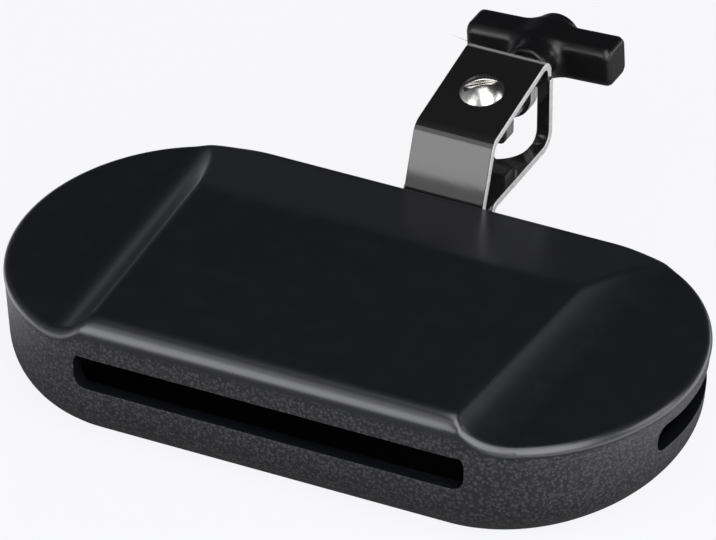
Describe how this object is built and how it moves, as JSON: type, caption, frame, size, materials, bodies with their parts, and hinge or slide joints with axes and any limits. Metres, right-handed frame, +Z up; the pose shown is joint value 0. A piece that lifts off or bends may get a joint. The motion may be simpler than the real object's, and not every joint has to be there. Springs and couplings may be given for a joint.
{
  "type": "percussion block with rod clamp",
  "caption": "Hollow moulded percussion block with sound slots and a raised playing panel, carried by a steel rod clamp with a wing screw.",
  "frame": {"origin": "centre of the block's flat underside", "axes": "+X along the block's length to the player's right, +Y from the front slot towards the clamp, +Z up out of the playing panel"},
  "size_m": [0.175, 0.1632, 0.0483],
  "materials": {
    "shell_black": "fine sparkle-free satin on the playing top, coarse moulded grain on the walls",
    "screw_dark": "blackened steel",
    "strap_black": "gloss black lacquer with bright cut edges",
    "steel_bright": "bright zinc plate",
    "spring_steel": "plain spring steel",
    "jaw_black": "black coated casting",
    "head_nickel": "bright nickel plate",
    "grip_black": "smooth satin moulding",
    "pad_black": "plain rubber",
    "collar_brass": "turned brass"
  },
  "bodies": {
    "root": {"top_shell": "shell_black", "bottom_shell": "shell_black", "shell_screws": "screw_dark", "upper_strap": "strap_black", "lower_strap": "strap_black", "mount_screws": "steel_bright", "mount_washers": "steel_bright", "spring_washers": "spring_steel", "backing_plate": "steel_bright", "mount_nuts": "steel_bright", "fixed_jaw": "jaw_black", "jaw_screw": "head_nickel", "strap_nut": "steel_bright"},
    "shoe": {"shoe_plate": "steel_bright", "shoe_pad": "pad_black", "shoe_collar": "collar_brass"},
    "wing_screw": {"wing_bolt": "steel_bright", "wing_grip": "grip_black"}
  },
  "joints": [
    {"name": "jaw_slide", "type": "slide", "parent": "root", "child": "shoe", "axis": [0, 1, 0], "range_m": [-0.0064, 0.0032]},
    {"name": "wing_turn", "type": "hinge", "parent": "shoe", "child": "wing_screw", "pos_m": [0, 0.0873, 0.0372], "axis": [0, 1, 0], "range_deg": [-2304, 1152]}
  ],
  "couplings": [
    {"joint": "wing_turn", "follows": "jaw_slide", "rad_per_m": 6283.2}
  ]
}
